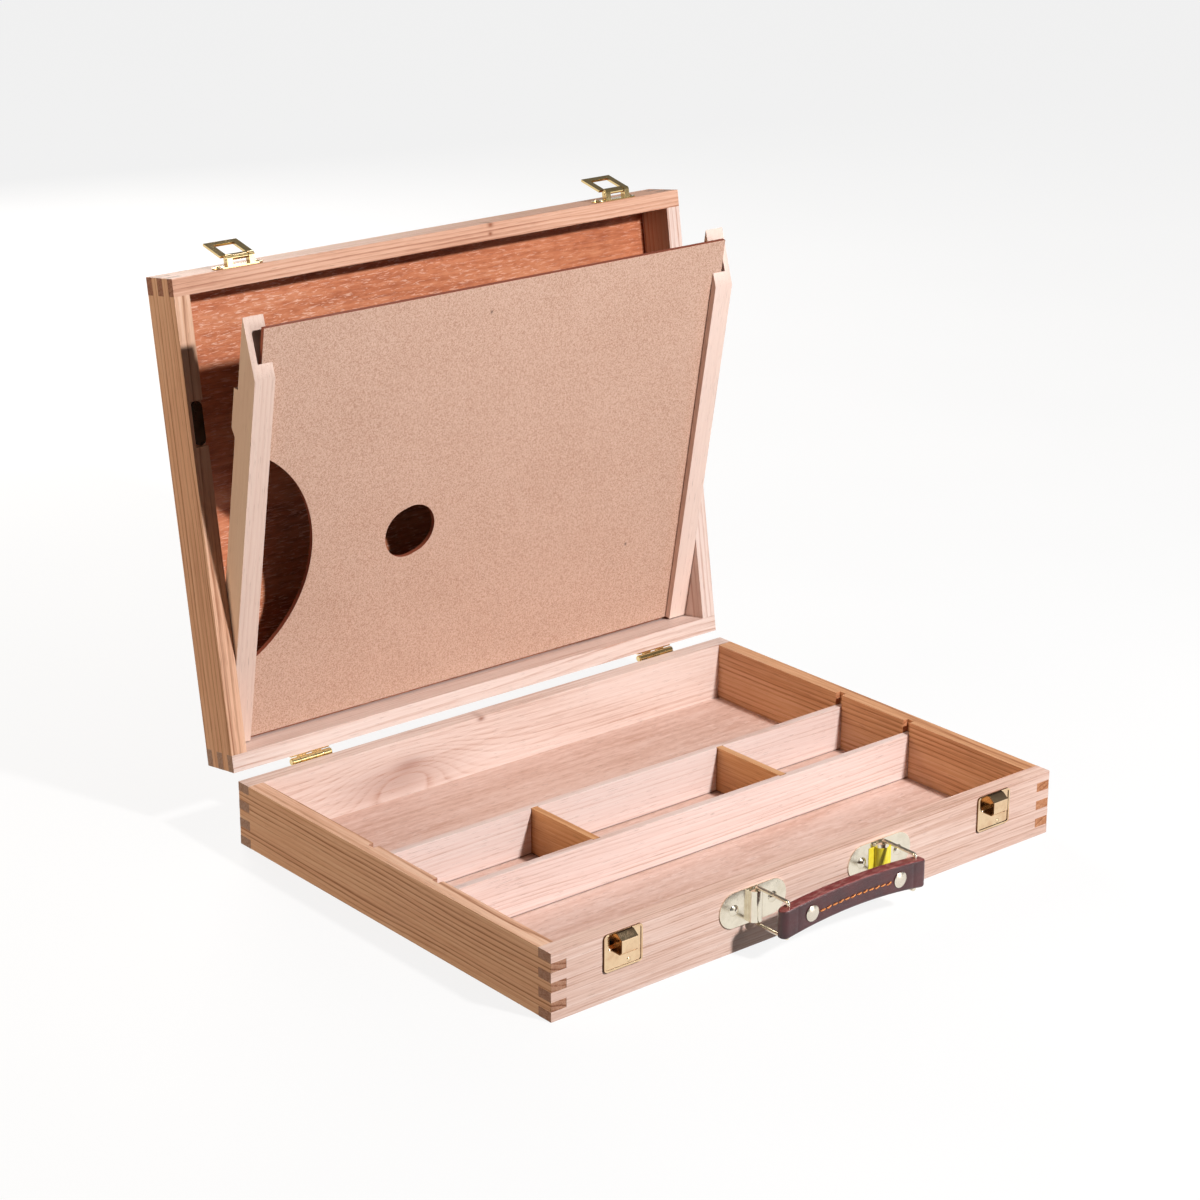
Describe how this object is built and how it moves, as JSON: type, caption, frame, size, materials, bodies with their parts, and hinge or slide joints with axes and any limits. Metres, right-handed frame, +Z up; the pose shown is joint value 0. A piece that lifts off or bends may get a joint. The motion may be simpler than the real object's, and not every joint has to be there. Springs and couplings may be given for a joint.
{
  "type": "wooden art supply box",
  "caption": "Hinged finger-jointed wooden case with divided compartments, a lid that holds a thumb-hole palette on tilting rails, brass hasp catches and a leather handle.",
  "frame": {"origin": "centre of the underside of the base, on the surface that the box stands on", "axes": "+Z up, -Y towards the handle side, +X to the right seen from the handle side; the lid is open at the +Y side"},
  "size_m": [0.4, 0.4227, 0.3616],
  "materials": {
    "frame_wood": "sanded, clear satin varnish",
    "plywood": "sanded plywood",
    "divider_wood": "sanded, bare",
    "rail_wood": "sanded, bare",
    "hardboard": "smooth hardboard",
    "brass": "polished plating",
    "nickel": "polished plating",
    "pale_metal": "satin plating",
    "dark_bronze": "dark bronze",
    "leather": "smooth, waxed",
    "label_paper": "coated paper"
  },
  "bodies": {
    "base": {"base_front_wall": "frame_wood", "base_rear_wall": "frame_wood", "base_left_wall": "frame_wood", "base_right_wall": "frame_wood", "base_bottom_panel": "plywood", "catch_plate_left": "brass", "catch_plate_right": "brass", "catch_nose_left": "brass", "catch_nose_right": "brass", "catch_nails": "brass", "handle_plate_left": "nickel", "handle_plate_right": "nickel", "handle_plate_rivets": "nickel", "paper_label": "label_paper", "hinge_base_leaf_left": "brass", "hinge_base_leaf_right": "brass", "hinge_pin_left": "brass", "hinge_pin_right": "brass", "hinge_base_screws": "brass"},
    "lid": {"hinge_lid_leaf_left": "brass", "hinge_lid_leaf_right": "brass", "hinge_lid_screws": "brass", "lid_front_wall": "frame_wood", "lid_rear_wall": "frame_wood", "lid_left_wall": "frame_wood", "lid_right_wall": "frame_wood", "lid_panel": "plywood", "hasp_plate_left": "brass", "hasp_plate_right": "brass", "hasp_pin_left": "brass", "hasp_pin_right": "brass", "hasp_nails": "brass", "rail_pivot_screws": "brass", "turn_button_screws": "dark_bronze"},
    "hasp_loop_left": {"hasp_loop_left": "brass"},
    "hasp_loop_right": {"hasp_loop_right": "brass"},
    "rail_left": {"rail_left": "rail_wood"},
    "rail_right": {"rail_right": "rail_wood"},
    "palette": {"palette": "hardboard"},
    "turn_button_left": {"turn_button_left": "dark_bronze"},
    "turn_button_right": {"turn_button_right": "dark_bronze"},
    "handle_ring_left": {"handle_ring_left": "nickel"},
    "handle_ring_right": {"handle_ring_right": "nickel"},
    "handle_grip": {"handle_strap": "leather", "handle_rivets": "pale_metal"},
    "divider_rear": {"divider_rear": "divider_wood"},
    "divider_front": {"divider_front": "divider_wood"},
    "divider_cross_left": {"divider_cross_left": "divider_wood"},
    "divider_cross_right": {"divider_cross_right": "divider_wood"}
  },
  "joints": [
    {"name": "lid_hinge", "type": "hinge", "parent": "base", "child": "lid", "pos_m": [0, 0.1578, 0.0421], "axis": [1, 0, 0], "range_deg": [0, 98.5]},
    {"name": "rail_left_pivot", "type": "hinge", "parent": "lid", "child": "rail_left", "pos_m": [-0.1866, 0.17974, 0.09686], "axis": [-1, 0, 0], "range_deg": [0, 18.5]},
    {"name": "rail_right_pivot", "type": "hinge", "parent": "lid", "child": "rail_right", "pos_m": [0.1866, 0.17974, 0.09686], "axis": [-1, 0, 0], "range_deg": [0, 18.5]},
    {"name": "palette_slide", "type": "slide", "parent": "rail_left", "child": "palette", "axis": [0, 0.1736, -0.9848], "range_m": [-0.25, 0]},
    {"name": "hasp_left_hinge", "type": "hinge", "parent": "lid", "child": "hasp_loop_left", "pos_m": [-0.149, 0.20863, 0.35583], "axis": [1, 0, 0], "range_deg": [-33, 164.5]},
    {"name": "hasp_right_hinge", "type": "hinge", "parent": "lid", "child": "hasp_loop_right", "pos_m": [0.149, 0.20863, 0.35583], "axis": [1, 0, 0], "range_deg": [-33, 164.5]},
    {"name": "turn_button_left_pivot", "type": "hinge", "parent": "lid", "child": "turn_button_left", "pos_m": [-0.1935, 0.1931, 0.27221], "axis": [0, -0.989, 0.1478], "range_deg": [0, 90]},
    {"name": "turn_button_right_pivot", "type": "hinge", "parent": "lid", "child": "turn_button_right", "pos_m": [0.1935, 0.1931, 0.27221], "axis": [0, 0.989, -0.1478], "range_deg": [0, 90]},
    {"name": "handle_ring_left_hinge", "type": "hinge", "parent": "base", "child": "handle_ring_left", "pos_m": [-0.051, -0.1575, 0.0272], "axis": [0, 0, 1], "range_deg": [-65, 65]},
    {"name": "handle_grip_hinge", "type": "hinge", "parent": "handle_ring_left", "child": "handle_grip", "pos_m": [-0.051, -0.184, 0.0272], "axis": [0, 0, 1], "range_deg": [-65, 65]},
    {"name": "handle_ring_right_hinge", "type": "hinge", "parent": "base", "child": "handle_ring_right", "pos_m": [0.051, -0.1575, 0.0272], "axis": [0, 0, 1], "range_deg": [-65, 65]},
    {"name": "divider_rear_lift", "type": "slide", "parent": "base", "child": "divider_rear", "axis": [0, 0, -1], "range_m": [-0.039, 0]},
    {"name": "divider_front_lift", "type": "slide", "parent": "base", "child": "divider_front", "axis": [0, 0, -1], "range_m": [-0.039, 0]},
    {"name": "divider_cross_left_lift", "type": "slide", "parent": "base", "child": "divider_cross_left", "axis": [0, 0, -1], "range_m": [-0.039, 0]},
    {"name": "divider_cross_right_lift", "type": "slide", "parent": "base", "child": "divider_cross_right", "axis": [0, 0, -1], "range_m": [-0.039, 0]}
  ],
  "couplings": [
    {"joint": "rail_left_pivot", "follows": "lid_hinge", "ratio": 0.18782},
    {"joint": "rail_right_pivot", "follows": "lid_hinge", "ratio": 0.18782},
    {"joint": "handle_grip_hinge", "follows": "handle_ring_left_hinge", "ratio": -1},
    {"joint": "handle_ring_right_hinge", "follows": "handle_ring_left_hinge", "ratio": 1}
  ]
}
